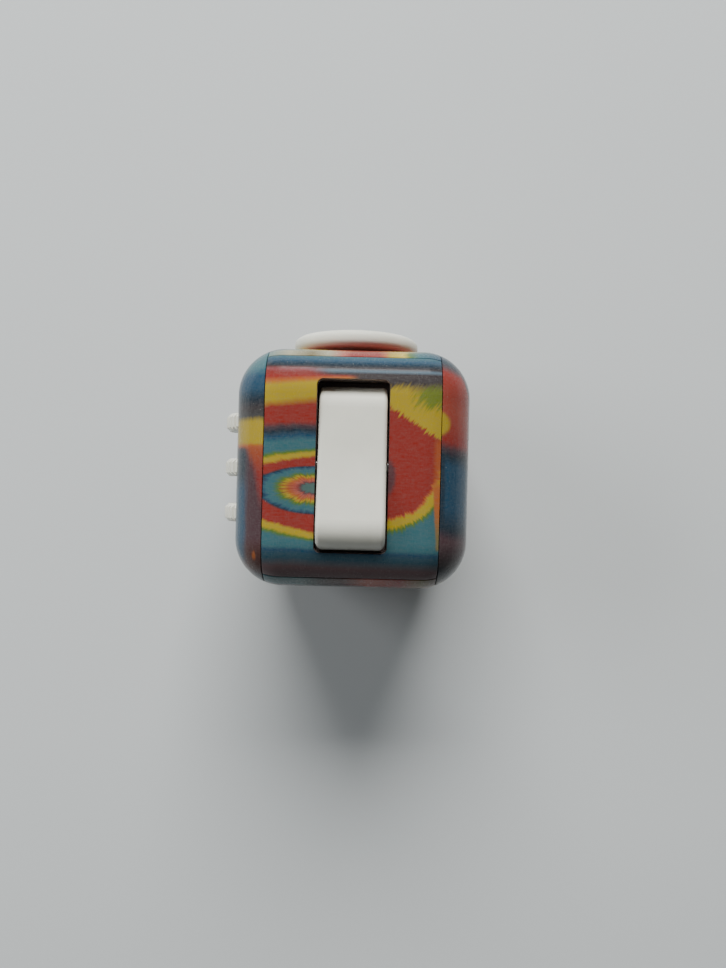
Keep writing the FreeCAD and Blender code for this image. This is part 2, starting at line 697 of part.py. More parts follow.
def make_glide(space):
    """Make the carriage, its tray, the centring ring and the retainer."""
    plate = middle_box("carriage_plate", "carriage_x", "carriage_z", ("in_y - 2.6", "in_y - 0.4"))
    slot_long = "flange + 2 * glide + 2 * gap"
    slot = middle_box("carriage_slot", "flange + 2 * slip", slot_long, ("0", "20"))
    node("glide_carriage", cut("carriage_cut", plate, [slot]), "+Y")
    inner_x = "carriage_x + 2 * glide + 2 * gap"
    inner_z = "carriage_z + 2 * slip"
    low = "in_y - 3.9"
    outer = middle_box("tray_outer", f"{inner_x} + 1.8", f"{inner_z} + 2", (low, "in_y"))
    lip = middle_box("tray_lip", "17.6", "23", ("in_y - 1.2", "in_y"))
    hollow = middle_box("tray_hollow", inner_x, inner_z, ("in_y - 2.8", "20"))
    hole = rod("tray_hole", "+Z", "1.5 + 1.4142 * glide + 0.3", "30")
    spots = [(f"{a}6.5", f"{b}10.1", "in_y - 1.2") for a in "+-" for b in "+-"]
    screws, holes = screw_set("tray_screw", "+Z", spots, "2.2")
    back_spots = [(f"{a}7.2", f"{b}7.2", f"{low} - 2.6") for a in "+-" for b in "+-"]
    back_screws, back_holes = screw_set("retainer_screw", "+Z", back_spots, "3.4")
    turned_space = place(group("turned_space", [space]), "-Y")
    blank = fuse("tray_blank", [outer, lip])
    tray = cut("tray_cut", blank, [hollow, hole] + holes + back_holes)
    tray = common("tray_trim", tray, turned_space)
    node("joystick_tray", tray, "+Y")
    node("joystick_tray_screws", group("tray_screws", screws), "+Y")
    ring_points = [
        ("1.5 + slip", f"{low} - 1.4"), ("6.4", f"{low} - 1.4"), ("6.4", f"{low} - 0.05"), ("1.5 + slip", f"{low} - 0.05"),
    ]
    node("joystick_centring_ring", lathe("ring_body", ring_points), "+Y")
    plate = middle_box("retainer_plate", "16.8", "16.8", (f"{low} - 2.6", f"{low} - 1.45"))
    posts = [
        rod(f"retainer_post_{a}{b}".replace("+", "p").replace("-", "m"), "+Z", "1.2", "1.5", f"{a}7.2", f"{b}7.2", f"{low} - 1.5")
        for a in "+-" for b in "+-"
    ]
    window = rod("retainer_window", "+Z", "1.5 + 1.4142 * glide + 0.3", "30")
    retainer = cut("retainer_cut", fuse("retainer_blank", [plate] + posts), [window] + back_holes)
    node("joystick_retainer", retainer, "+Y")
    node("joystick_retainer_screws", group("retainer_screws", back_screws), "+Y")
    return holes


def make_back_panel(raw, holes, frame_holes):
    """Open the back panel for the joystick neck."""
    opening = rod("glide_opening", "+Y", "neck_r + 1.4142 * glide + 0.3", "8", y="12")
    turned = place(group("tray_holes_turned", holes), "+Y")
    node("back_panel", cut("back_panel_cut", raw, [opening, turned] + frame_holes))


# ---------------------------------------------------------------- dimple (front)

def make_front_panel(raw, holes):
    """Thicken the front panel inside and press the worry-stone dimple in."""
    pad = rod("dimple_pad", "-Y", "8.6", "2.4", y="-in_y + 2")
    hollow = sphere("dimple", "dimple_r", y="-front_y - dimple_r + dimple_depth")
    node("front_panel", cut("front_panel_cut", fuse("front_panel_blank", [raw, pad]), [hollow] + holes))


# ---------------------------------------------------------------- buttons (right)

def make_buttons():
    """Make five buttons in a die pattern; three click on coils, two are silent."""
    pitch = "button_pitch"
    spots = {
        "top_front": (f"-{pitch}", pitch, "coil"),
        "top_back": (pitch, pitch, "pad"),
        "middle": ("0", "0", "coil"),
        "bottom_front": (f"-{pitch}", f"-{pitch}", "pad"),
        "bottom_back": (pitch, f"-{pitch}", "coil"),
    }
    top = "half_x + button_out"
    under = "in_x - gap - 0.8"
    for name, (y, z, kind) in spots.items():
        points = [
            ("0", "plate_x - 0.6"), ("0.8", "plate_x - 0.6"), ("0.8", under), ("button_flange", under),
            ("button_flange", "in_x - gap"), ("button_r", "in_x - gap"), ("button_r", top), ("0", top),
        ]
        body = lathe(f"button_{name}_body", points)
        dome = sphere(f"button_{name}_dome", "button_dome", z=f"{top} - button_dome")
        stem = rod(f"button_{name}_stem", "+Z", "button_flange", "8", z=f"{top} - 8.8")
        crown = fuse(f"button_{name}_crown", [dome, stem])
        node("button_" + name, common(f"button_{name}_cut", body, crown), "+X", y=y, z=z)
        length = f"{under} - plate_x - 2 * slip"
        if kind == "coil":
            coil("button_spring_" + name, "1.5", length, 3, "+X", x="plate_x + slip", y=y, z=z)
        else:
            make_silent_pad("button_pad_" + name, length, y, z)
    return spots


def make_silent_pad(label, length, y, z):
    """Make a soft collapsible dome that returns a silent button."""
    points = [
        ("1.6", "0"), ("2.9", "0"), ("2.9", "0.6"), ("2.1", length),
        ("1.0", length), ("1.0", f"{length} - 0.5"), ("1.6", "0.8"),
    ]
    node(label, lathe(label + "_body", points), "+X", x="plate_x + slip", y=y, z=z)


def make_right_cap(raw, spots):
    """Make the right cap with its button holes and the plate behind them."""
    around = (("post_at", "0"), ("-post_at", "0"), ("0", "post_at"), ("0", "-post_at"))
    posts = [
        rod(f"post_{index}", "+X", "post_r", "in_x - plate_x + 0.4", "plate_x", y, z)
        for index, (y, z) in enumerate(around)
    ]
    plate = box("plate_block", ("plate_x - 1.2", "plate_x"), ("-plate_half", "plate_half"), ("-plate_half", "plate_half"))
    screw_spots = [("plate_x - 1.2", y, z) for y, z in around]
    screws, holes = screw_set("plate_screw", "+X", screw_spots, "4.2")
    guides = [rod(f"guide_{name}", "+X", "0.8 + gap", "4", "8", y, z) for name, (y, z, kind) in spots.items()]
    node("button_plate", cut("plate_cut", plate, guides + holes))
    node("button_plate_screws", group("plate_screws", screws))
    mouths = [
        rod(f"mouth_{name}", "+X", "button_r + gap", "8", "13", y, z)
        for name, (y, z, kind) in spots.items()
    ]
    blank = fuse("right_cap_blank", [raw] + posts + cap_pegs("+"))
    node("right_cap", cut("right_cap_cut", blank, mouths + holes))


# ---------------------------------------------------------------- dial (bottom)

def make_dial():
    """Make the dial, the washers and the screw that keep it in the panel."""
    face = "half_z + dial_height"
    points = [
        ("0", "in_z - 0.5"), ("hub_r", "in_z - 0.5"), ("hub_r", "half_z + 0.15"),
        ("dial_r", "half_z + 0.15"), ("dial_r", face), ("0", face),
    ]
    body = lathe("dial_body", points)
    soften(body, "dial_rim", "0.5", ring_edge("dial_r", face))
    dimple = sphere("dial_dimple", "6", x="4.8", z=f"{face} + 5.2")
    screws, holes = screw_set("dial_screw_part", "+Z", [("0", "0", "in_z - 1.3")], "3.6")
    node("dial", cut("dial_cut", body, [dimple] + holes), "-Z")
    washer = [("screw_r + slip", "in_z - 1.3"), ("6", "in_z - 1.3"), ("6", "in_z - 0.5"), ("screw_r + slip", "in_z - 0.5")]
    node("dial_keeper", lathe("keeper_body", washer), "-Z")
    ring = [("hub_r + gap", "in_z - 0.45"), ("5.6", "in_z - 0.45"), ("5.6", "in_z - slip"), ("hub_r + gap", "in_z - slip")]
    node("dial_friction_ring", lathe("friction_body", ring), "-Z")
    node("dial_screw", group("dial_screws", screws), "-Z")


def make_bottom_panel(raw, holes):
    """Open the bottom panel for the dial hub."""
    opening = rod("dial_opening", "-Z", "hub_r + slip", "8", z="-12")
    node("bottom_panel", cut("bottom_panel_cut", raw, [opening] + holes))


def make_belt_screws():
    """Make the eight screws that hold the belt panels to the frame."""
    across = "(bar_x + cap_seam - gap) / 2"
    sets = (
        ("top", "+Z", [(f"{a}({across})", f"{b}gear_pitch / 2 + gear_shift", "bar_z") for a in "+-" for b in "+-"]),
        ("bottom", "-Z", [(f"{a}({across})", f"{b}5", "-bar_z") for a in "+-" for b in "+-"]),
        ("back", "+Y", [(f"{a}({across})", "bar_y", f"{b}5") for a in "+-" for b in "+-"]),
        ("front", "-Y", [(f"{a}({across})", "-bar_y", f"{b}5") for a in "+-" for b in "+-"]),
    )
    holes = {}
    for side, turn, spots in sets:
        screws, holes[side] = screw_set(f"{side}_panel_screw", turn, spots, "3.7" if turn[1] == "Z" else "3.4")
        node(side + "_panel_screws", group(side + "_panel_screw_set", screws))
    return holes


def check_and_write():
    """Refuse any broken piece, then write each one to its own file."""
    for thing in doc.Objects:
        if "Invalid" in thing.State or "Error" in thing.State:
            raise RuntimeError(f"{thing.Name} did not compute: {thing.State}")
    os.makedirs("parts", exist_ok=True)
    for piece in NODES:
        shape = piece.Shape
        if shape.isNull() or not shape.isValid() or not shape.Solids:
            raise RuntimeError(f"{piece.Label} is not a sound solid")
        shape.exportStep(f"parts/{piece.Label}.step")
        print(piece.Label, len(shape.Solids), round(shape.Volume, 2))


shell = make_shell()
space = frame_space()
panel_holes = make_belt_screws()
make_frame(space, [hole for side in panel_holes.values() for hole in side])
make_rocker()
tub_holes = make_rocker_seat(space)
make_top_panel(shell["top"], tub_holes + panel_holes["top"])
make_gears()
bracket_holes = make_gear_mount(space)
sleeve_holes = make_ball(space)
make_left_cap(shell["left"], bracket_holes + sleeve_holes)
make_joystick()
tray_holes = make_glide(space)
make_back_panel(shell["back"], tray_holes, panel_holes["back"])
make_front_panel(shell["front"], panel_holes["front"])
button_spots = make_buttons()
make_right_cap(shell["right"], button_spots)
make_dial()
make_bottom_panel(shell["bottom"], panel_holes["bottom"])
doc.recompute()
check_and_write()
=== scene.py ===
import json
import math

import bpy
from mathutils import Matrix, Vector

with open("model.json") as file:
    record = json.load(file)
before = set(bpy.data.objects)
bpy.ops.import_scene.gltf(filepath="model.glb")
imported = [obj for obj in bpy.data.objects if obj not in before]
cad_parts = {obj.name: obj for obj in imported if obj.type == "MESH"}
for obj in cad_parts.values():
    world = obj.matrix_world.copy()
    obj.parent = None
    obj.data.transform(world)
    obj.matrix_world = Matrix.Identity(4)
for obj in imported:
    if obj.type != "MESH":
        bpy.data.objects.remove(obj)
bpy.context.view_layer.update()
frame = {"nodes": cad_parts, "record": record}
NODES = frame["nodes"]

MM = 0.001
CENTRE_Z = 18.9          # cube centre above the table, mm
TOP_Z = 35.4             # top face above the table, mm


# ---------------------------------------------------------------- node maths

class Field:
    """A number that varies over a surface, written with ordinary arithmetic."""

    def __init__(self, tree, socket):
        self.tree = tree
        self.socket = socket

    def _math(self, operation, *values):
        node = self.tree.nodes.new("ShaderNodeMath")
        node.operation = operation
        for index, value in enumerate(values):
            if isinstance(value, Field):
                self.tree.links.new(value.socket, node.inputs[index])
            else:
                node.inputs[index].default_value = value
        return Field(self.tree, node.outputs[0])

    def __add__(self, other):
        return self._math("ADD", self, other)

    def __radd__(self, other):
        return self._math("ADD", other, self)

    def __sub__(self, other):
        return self._math("SUBTRACT", self, other)

    def __rsub__(self, other):
        return self._math("SUBTRACT", other, self)

    def __mul__(self, other):
        return self._math("MULTIPLY", self, other)

    def __rmul__(self, other):
        return self._math("MULTIPLY", other, self)

    def __truediv__(self, other):
        return self._math("DIVIDE", self, other)

    def __neg__(self):
        return self._math("MULTIPLY", self, -1.0)

    def root(self):
        return self._math("SQRT", self)

    def size(self):
        return self._math("ABSOLUTE", self)

    def atleast(self, other):
        return self._math("MAXIMUM", self, other)

    def atmost(self, other):
        return self._math("MINIMUM", self, other)

    def angle(self, other):
        return self._math("ARCTAN2", self, other)

    def step(self, low, high):
        """Rise smoothly from 0 to 1 between two values."""
        node = self.tree.nodes.new("ShaderNodeMapRange")
        node.interpolation_type = "SMOOTHSTEP"
        self.tree.links.new(self.socket, node.inputs["Value"])
        node.inputs["From Min"].default_value = low
        node.inputs["From Max"].default_value = high
        if low > high:
            node.inputs["From Min"].default_value = high
            node.inputs["From Max"].default_value = low
            node.inputs["To Min"].default_value = 1.0
            node.inputs["To Max"].default_value = 0.0
        return Field(self.tree, node.outputs["Result"])

    def bend(self, points):
        """Follow straight lines between (input, output) pairs."""
        node = self.tree.nodes.new("ShaderNodeFloatCurve")
        low, high = points[0][0], points[-1][0]
        outputs = [value for _, value in points]
        least, most = min(outputs), max(outputs)
        curve = node.mapping.curves[0]
        for index, (value, output) in enumerate(points):
            spot = ((value - low) / (high - low), (output - least) / (most - least))
            if index in (0, len(points) - 1):
                corner = curve.points[0 if index == 0 else -1]
                corner.location = spot
            else:
                corner = curve.points.new(*spot)
            corner.handle_type = "VECTOR"
        node.mapping.update()
        scaled = (self - low) / (high - low)
        self.tree.links.new(scaled.socket, node.inputs["Value"])
        return Field(self.tree, node.outputs["Value"]) * (most - least) + least

    def ramp(self, low, high, stops):
        """Turn the field into a colour along a list of (value, colour)."""
        node = self.tree.nodes.new("ShaderNodeValToRGB")
        scaled = (self - low) / (high - low)
        self.tree.links.new(scaled.socket, node.inputs[0])
        elements = node.color_ramp.elements
        while len(elements) > 1:
            elements.remove(elements[-1])
        for index, (value, colour) in enumerate(stops):
            spot = min(max((value - low) / (high - low), 0.0), 1.0)
            element = elements[0] if index == 0 else elements.new(spot)
            element.position = spot
            element.color = (*colour, 1.0)
        return Field(self.tree, node.outputs["Color"])


def mix(tree, amount, first, second, blend="MIX"):
    """Mix two colours; each is a Field or a plain colour."""
    node = tree.nodes.new("ShaderNodeMix")
    node.data_type = "RGBA"
    node.blend_type = blend
    factor, a, b = node.inputs[0], node.inputs[6], node.inputs[7]
    for socket, value in ((factor, amount), (a, first), (b, second)):
        if isinstance(value, Field):
            tree.links.new(value.socket, socket)
        elif socket is factor:
            socket.default_value = value
        else:
            socket.default_value = (*value, 1.0)
    return Field(tree, node.outputs[2])


def vector(tree, x, y, z):
    """Join three fields into a vector."""
    node = tree.nodes.new("ShaderNodeCombineXYZ")
    for index, value in enumerate((x, y, z)):
        if isinstance(value, Field):
            tree.links.new(value.socket, node.inputs[index])
        else:
            node.inputs[index].default_value = value
    return Field(tree, node.outputs[0])


def noise(tree, where, scale, detail=2.0, roughness=0.5):
    """Smooth random field of about 0 to 1."""
    node = tree.nodes.new("ShaderNodeTexNoise")
    tree.links.new(where.socket, node.inputs["Vector"])
    node.inputs["Scale"].default_value = scale
    node.inputs["Detail"].default_value = detail
    node.inputs["Roughness"].default_value = roughness
    return Field(tree, node.outputs["Fac"])


def start(name):
    """New material: returns it, its tree, its shader and position in mm from the cube centre."""
    material = bpy.data.materials.new(name)
    material.use_nodes = True
    tree = material.node_tree
    shader = tree.nodes["Principled BSDF"]
    coords = tree.nodes.new("ShaderNodeTexCoord")
    scale = tree.nodes.new("ShaderNodeVectorMath")
    scale.operation = "SCALE"
    scale.inputs["Scale"].default_value = 1.0 / MM
    tree.links.new(coords.outputs["Object"], scale.inputs[0])
    place = Field(tree, scale.outputs[0])
    split = tree.nodes.new("ShaderNodeSeparateXYZ")
    tree.links.new(place.socket, split.inputs[0])
    x, y, z = (Field(tree, split.outputs[index]) for index in range(3))
    return material, tree, shader, place, (x, y, z - CENTRE_Z)


def bump(tree, shader, height, distance, strength=1.0):
    """Relief in metres times the height field."""
    node = tree.nodes.new("ShaderNodeBump")
    node.inputs["Distance"].default_value = distance
    node.inputs["Strength"].default_value = strength
    tree.links.new(height.socket, node.inputs["Height"])
    tree.links.new(node.outputs["Normal"], shader.inputs["Normal"])


def linear(*rgb):
    """sRGB 0-255 to linear."""
    out = []
    for value in rgb:
        v = value / 255.0
        out.append(v / 12.92 if v <= 0.04045 else ((v + 0.055) / 1.055) ** 2.4)
    return tuple(out)


# ---------------------------------------------------------------- dye colours, with one painted highlight and one wall colour lifted as painted bounce light

YELLOW = linear(158, 136, 24)
LEMON = linear(190, 170, 60)
ORANGE = linear(158, 84, 32)
RED = linear(128, 34, 26)
PINK = linear(160, 84, 70)
GREEN = linear(70, 100, 26)
TEAL = linear(46, 90, 98)
GREY_TEAL = linear(80, 110, 110)
# Painted highlight: a pale grey-blue laid as a thin line on the rounded back edge of the top.
PAINTED_HIGHLIGHT_GREY_BLUE = linear(78, 98, 112)
BLUE = linear(18, 60, 84)
NAVY = linear(14, 34, 48)
PLUM = linear(66, 44, 50)
DARK = linear(48, 42, 44)
BROWN = linear(70, 38, 34)
GREY_DARK = linear(52, 52, 52)
OLIVE = linear(104, 92, 56)
BEIGE = linear(150, 146, 120)
# Bare plastic of the opening walls, lightened beyond its own tone as painted bounce light in the
# shaded pocket.
BARE_WALL_PAINTED_BOUNCE = linear(196, 172, 162)
DEEP = linear(34, 68, 82)
SMOKE = linear(98, 76, 78)
ASH = linear(76, 78, 84)
CAP_RED = linear(142, 60, 46)
CORE = linear(62, 88, 84)

EYE = (-5.3, -3.0)       # centre of the eye left of the rocker, mm
EYE_WIDE = 2.6           # its width over its height
RECESS = (4.95, 11.8)    # half width and half length of the rocker opening, mm
FILM_LOW = 15.8          # the film ends at this height inside the opening, mm above the centre


def fringe(tree, along, across, pitch, amount, seed):
    """Fine pointed feathers at the edge of a dye band."""
    fine = noise(tree, vector(tree, along * (1.0 / pitch), across * 0.22, seed), 1.0, 3.0, 0.62)
    drift = noise(tree, vector(tree, along * 0.35, across * 0.2, seed + 5.0), 1.0, 1.0, 0.5)
    return (fine - 0.5) * (5.0 * amount) + (drift - 0.5) * 0.8


def polar(x, y, wide=1.0):
    """Distance and direction of a point from a centre at the origin."""
    across = x * (1.0 / wide)
    return (across * across + y * y).root(), y.angle(across)


def dye_top(tree, x, y, z):
    """Colours of the top: an eye and flat bands left of the rocker, a red wedge on the right, a thin
    painted highlight line on the back edge, and bare opening walls lightened as painted bounce light.
    """
    across = (x - EYE[0]).atmost(0.0)
    up = y - EYE[1]
    squeezed = up.atmost(0.0).size() * 0.80 + up.atleast(0.0)
    ring, turn = polar(across, squeezed, EYE_WIDE)
    jag = fringe(tree, turn * 9.0, ring, 0.62, 0.20, 1.0)
    eye = (ring + jag * 0.8).ramp(0.0, 4.0, [
        (0.0, CORE), (0.5, CORE), (0.66, PLUM), (0.9, PINK), (1.2, ORANGE), (1.45, YELLOW),
        (1.75, GREEN), (2.1, TEAL), (2.4, TEAL), (2.65, BLUE), (2.85, NAVY), (4.0, NAVY),
    ])
    hair = noise(tree, vector(tree, turn * 26.0, ring * 0.4, 17.0), 1.0, 2.0, 0.5)
    eye = mix(tree, hair.step(0.50, 0.60) * ring.step(0.5, 0.8) * ring.step(1.9, 1.5) * 0.7, eye, RED)
    slope = y.bend([
        (-17.0, 0.0), (-12.0, 0.0), (-11.0, -0.05), (-9.6, -0.20), (-8.4, -0.24), (-5.5, -0.33),
        (-3.0, 0.0), (-0.8, 0.20), (0.6, 0.155), (1.7, 0.12), (2.5, 0.10), (4.0, 0.05), (5.5, 0.03),
        (8.8, 0.13), (11.0, 0.10), (13.0, 0.0), (17.0, 0.0),
    ])
    calm = y.step(12.0, 8.0) * 0.7 + 0.3
    level = y - slope * (x + 8.25) + jag * calm * 0.7
    bands = level.ramp(-12.0, 13.6, [
        (-12.0, NAVY), (-11.6, BLUE), (-11.0, TEAL), (-9.9, TEAL), (-9.5, GREEN), (-9.1, YELLOW),
        (-8.6, YELLOW),
        (-8.2, RED), (-5.9, RED), (-5.4, NAVY), (-1.1, NAVY), (-0.7, RED), (0.5, RED),
        (0.95, YELLOW),
        (1.3, YELLOW), (1.7, GREEN), (2.1, TEAL), (3.2, TEAL), (3.9, BLUE), (4.6, NAVY),
        (5.2, PLUM), (5.8, RED),
        (7.9, RED), (9.0, YELLOW), (10.9, YELLOW), (11.5, ORANGE), (12.0, RED), (13.6, RED),
    ])
    left = mix(tree, ring.step(2.75, 3.0), eye, bands)

    line = y + (x - 5.0) * 0.69
    spikes = fringe(tree, x - y * 0.69, line, 0.40, 0.75, 4.0)
    upper = (line + spikes).ramp(6.0, 15.0, [
        (6.0, RED), (7.9, RED), (8.5, YELLOW), (15.0, YELLOW),
    ])
    blot, _ = polar(x - 10.6, y - 9.5, 1.35)
    upper = mix(tree, (blot + spikes * 1.3).step(2.5, 0.9) * 0.8, upper, GREEN)
    upper = mix(tree, (y + spikes * 0.6).step(9.9, 11.5), upper, DARK)
    arc, turn = polar(x - 4.0, y - 0.6)
    spikes = fringe(tree, turn * 9.0, arc, 0.55, 0.42, 9.0)
    lower = (arc + spikes).ramp(6.0, 12.0, [
        (6.0, RED), (7.5, RED), (7.8, ORANGE), (8.1, YELLOW), (8.9, YELLOW), (9.3, GREEN),
        (9.8, TEAL), (12.0, TEAL),
    ])
    right = mix(tree, y.step(-1.0, 0.6), lower, upper)
    spot, _ = polar(x - 4.9, y + 1.4, 0.42)
    right = mix(tree, (spot + spikes * 0.6).step(3.0, 1.6) * 0.85, right, PLUM)
    right = mix(tree, x.step(10.7, 11.6) * y.step(4.5, 3.0) * y.step(-3.5, -2.0) * 0.6, right, ORANGE)
    margin = (x - 10.85 + (y + 2.8) * 0.07 + spikes * 0.25).step(0.0, 0.35) * y.step(-1.8, -2.8)
    right = mix(tree, margin, right, mix(tree, y.step(-5.0, -10.0), ORANGE, OLIVE))

    whole = mix(tree, x.step(-1.0, 1.0), left, right)
    # The thin pale grey-blue line in this ramp is a painted highlight on the rounded back edge.
    head = (y + jag * 0.6).ramp(11.0, 17.0, [
        (11.0, DARK), (12.5, DARK), (12.9, PAINTED_HIGHLIGHT_GREY_BLUE), (13.3, DARK), (13.8, NAVY), (14.5, BLUE),
        (15.3, TEAL),
        (16.2, BLUE), (17.0, TEAL),
    ])
    ember = (x + y * 0.8).step(7.5, 3.5) * y.step(13.6, 12.9)
    head = mix(tree, ember * 0.8, head, RED)
    whole = mix(tree, (y + jag * 0.4).step(12.0, 12.5), whole, head)
    half_x, half_y = RECESS
    within = x.size().step(half_x + 0.5, half_x + 0.3) * y.size().step(half_y + 0.15, half_y + 0.05)
    inside = within * z.step(FILM_LOW + 0.2, FILM_LOW)
    foot = (y + jag * 0.5 + (x + 5.0) * 0.02).ramp(-17.0, -11.0, [
        (-17.0, DARK), (-15.6, PLUM), (-14.9, SMOKE), (-13.9, SMOKE), (-13.3, ASH),
        (-12.6, DEEP), (-12.0, DEEP),
        (-11.5, BLUE), (-11.0, TEAL),
    ])
    # Below the film the opening walls take the bare wall colour, lightened as painted bounce light.
    return mix(tree, inside, mix(tree, y.step(-10.9, -11.4), whole, foot), BARE_WALL_PAINTED_BOUNCE)


def rings(tree, u, v, cu, cv, stretch, seed, stops, span, amount=0.6):
    """Closed dye rings about a centre on a face."""
    radius, turn = polar(u - cu, (v - cv) * stretch)
    jag = fringe(tree, turn * 9.0, radius, 0.55, amount, seed)
    return (radius + jag).ramp(0.0, span, stops)


SIDE_RINGS = [
    (0.0, GREY_TEAL), (0.8, PLUM), (1.4, PINK), (2.0, YELLOW), (2.7, GREEN), (3.4, TEAL),
    (4.3, BLUE),
    (5.0, NAVY), (5.6, RED), (7.6, RED), (8.3, YELLOW), (9.6, YELLOW), (10.2, GREEN),
    (10.9, TEAL), (12.2, BLUE),
    (13.0, NAVY), (13.8, PLUM), (14.6, RED), (17.0, RED), (17.8, YELLOW), (19.6, YELLOW),
    (20.4, GREEN), (21.2, TEAL),
    (22.0, TEAL),
]


def dye_left(tree, x, y, z):
    """Left cap: bands across the top edge, rings on the side."""
    jag = fringe(tree, x * 1.6, y, 0.5, 0.22, 11.0)
    level = y + jag * 0.6
    edge = level.ramp(-17.0, 17.0, [
        (-17.0, TEAL), (-15.6, NAVY), (-14.4, BROWN), (-12.2, BROWN), (-10.0, PLUM),
        (-4.0, PLUM), (2.0, PLUM),
        (2.4, ORANGE), (3.0, YELLOW), (5.7, YELLOW), (6.5, GREY_DARK), (7.6, DARK), (8.8, NAVY),
        (10.2, BLUE),
        (12.0, BLUE), (13.4, TEAL), (17.0, TEAL),
    ])
    reach = y.bend([(-8.0, -11.8), (-4.5, -12.3), (0.0, -13.5), (3.2, -15.0), (8.0, -15.0)])
    wedge = (x - reach + jag * 0.8).step(-0.7, 0.7) * y.step(2.9, 2.2) * y.step(-7.0, -4.0)
    edge = mix(tree, wedge * 0.9, edge, mix(tree, y.step(-2.0, 3.0) * 0.6, RED, ORANGE))
    outer = (x + jag * 0.6).step(-14.0, -15.0) * y.step(2.8, 1.2) * y.step(-14.5, -12.5)
    edge = mix(tree, outer, edge, mix(tree, y.step(-1.0, -4.0), NAVY, BLUE))
    fleck, _ = polar(x + 13.1, y + 12.5, 0.4)
    edge = mix(tree, (fleck + jag).step(0.9, 0.3) * 0.8, edge, ORANGE)
    face = rings(tree, y, z, 1.0, -2.0, 1.1, 12.0, SIDE_RINGS, 22.0)
    return mix(tree, (z + jag).step(9.2, 11.6), face, edge)


def dye_right(tree, x, y, z):
    """Right cap: red corner, deep blue middle, rings on the side."""
    jag = fringe(tree, x * 1.2, y, 0.5, 0.25, 21.0)
    level = y + jag * 0.7 + (x - 12.0) * 0.25
    edge = level.ramp(-17.0, 17.0, [
        (-17.0, OLIVE), (-15.4, GREY_DARK), (-14.4, NAVY), (-13.0, DARK), (-9.4, PLUM),
        (-8.0, NAVY), (-5.0, BLUE),
        (0.6, BLUE), (2.0, NAVY), (3.0, PLUM), (4.0, RED), (8.0, CAP_RED), (13.2, RED),
        (14.0, PLUM), (14.6, NAVY), (17.0, BLUE),
    ])
    rim = (x + (y - 13.0) * 0.42 + jag * 0.5).step(14.6, 15.4) * y.step(6.0, 8.0)
    edge = mix(tree, rim, edge, NAVY)
    blot, _ = polar(x - 11.6, y - 6.0, 1.0)
    edge = mix(tree, (blot + jag * 0.4).step(1.9, 1.2), edge, YELLOW)
    inner = (x + jag * 0.5).step(12.9, 12.3) * y.step(2.4, 1.4) * y.step(-9.0, -7.0)
    edge = mix(tree, inner * 0.8, edge, NAVY)
    face = rings(tree, y, z, -2.0, 1.0, 1.1, 22.0, SIDE_RINGS, 22.0)
    return mix(tree, (z + jag).step(8.4, 11.0), face, edge)


def dye_back(tree, x, y, z):
    """Joystick panel: pale, red and yellow patches along its top edge."""
    jag = fringe(tree, z * 1.5, x, 0.5, 0.3, 31.0)
    edge = (x + jag * 0.8).ramp(-12.0, 12.0, [
        (-12.0, GREY_TEAL), (-9.0, BEIGE), (-6.0, OLIVE), (-3.5, BEIGE), (-1.6, PINK),
        (-0.4, RED), (3.4, RED),
        (4.3, ORANGE), (5.0, YELLOW), (6.8, LEMON), (7.6, GREEN), (8.8, TEAL), (12.0, BLUE),
    ])
    face = rings(tree, x, z, 1.0, 3.0, 1.0, 32.0, [
        (0.0, RED), (8.6, RED), (9.4, ORANGE), (10.0, YELLOW), (11.4, YELLOW), (12.0, GREEN),
        (12.8, TEAL),
        (14.4, BLUE), (15.4, NAVY), (16.4, PLUM), (18.0, RED), (22.0, RED),
    ], 22.0)
    return mix(tree, (z + jag).step(11.2, 12.6), face, edge)


def dye_front(tree, x, y, z):
    """Dimple panel: teal to pink along its top edge, rings in the dimple."""
    jag = fringe(tree, z * 1.5, x, 0.5, 0.3, 41.0)
    edge = (x + jag * 0.8).ramp(-12.0, 12.0, [
        (-12.0, TEAL), (-7.0, GREY_TEAL), (-4.0, GREY_DARK), (-1.0, BROWN), (2.5, PINK),
        (7.0, RED), (10.0, OLIVE),
        (12.0, BROWN),
    ])
    face = rings(tree, x, z, -1.0, 0.5, 1.1, 42.0, SIDE_RINGS, 22.0)
    return mix(tree, (z + jag).step(10.4, 12.4), face, edge)


def dye_bottom(tree, x, y, z):
    """Dial panel: wide rings around the dial."""
    return rings(tree, x, y, 2.0, -1.5, 0.9, 52.0, SIDE_RINGS, 22.0)


def shell_material(name, dye, seed):
    """Glossy dipped film over plastic, with fine scuffs and specks."""
    material, tree, shader, place, (x, y, z) = start(name)
    colour = dye(tree, x, y, z)
    grain = noise(tree, place, 2.6, 4.0, 0.65)
    weave = noise(tree, vector(tree, x * 0.8, y * 4.0, z * 2.0), 1.5, 3.0, 0.6)
    colour = mix(tree, (grain - 0.5) * 0.30 + (weave - 0.5) * 0.35 + 0.12, colour, (0.17, 0.17, 0.16))
    scuff = noise(tree, vector(tree, x * 5.0 + seed, y * 1.1, z * 5.0), 0.55, 5.0, 0.7)
    speck = noise(tree, place, 2.4, 2.0, 0.5)
    worn = speck.step(0.735, 0.77)
    colour = mix(tree, worn * 0.25, colour, (0.36, 0.35, 0.30))
    tree.links.new(colour.socket, shader.inputs["Base Color"])
    rough = 0.20 + scuff.step(0.45, 0.75) * 0.16 + (grain - 0.5) * 0.06
    tree.links.new(rough.socket, shader.inputs["Roughness"])
    shader.inputs["Coat Weight"].default_value = 0.12
    shader.inputs["Coat Roughness"].default_value = 0.08
    shader.inputs["Specular IOR Level"].default_value = 0.28
    shader.inputs["IOR"].default_value = 1.45
    relief = noise(tree, place, 0.40, 2.0, 0.5) * 0.8 + grain * 0.06 - worn * 0.25
    bump(tree, shader, relief, 0.00006, 0.5)
    return material


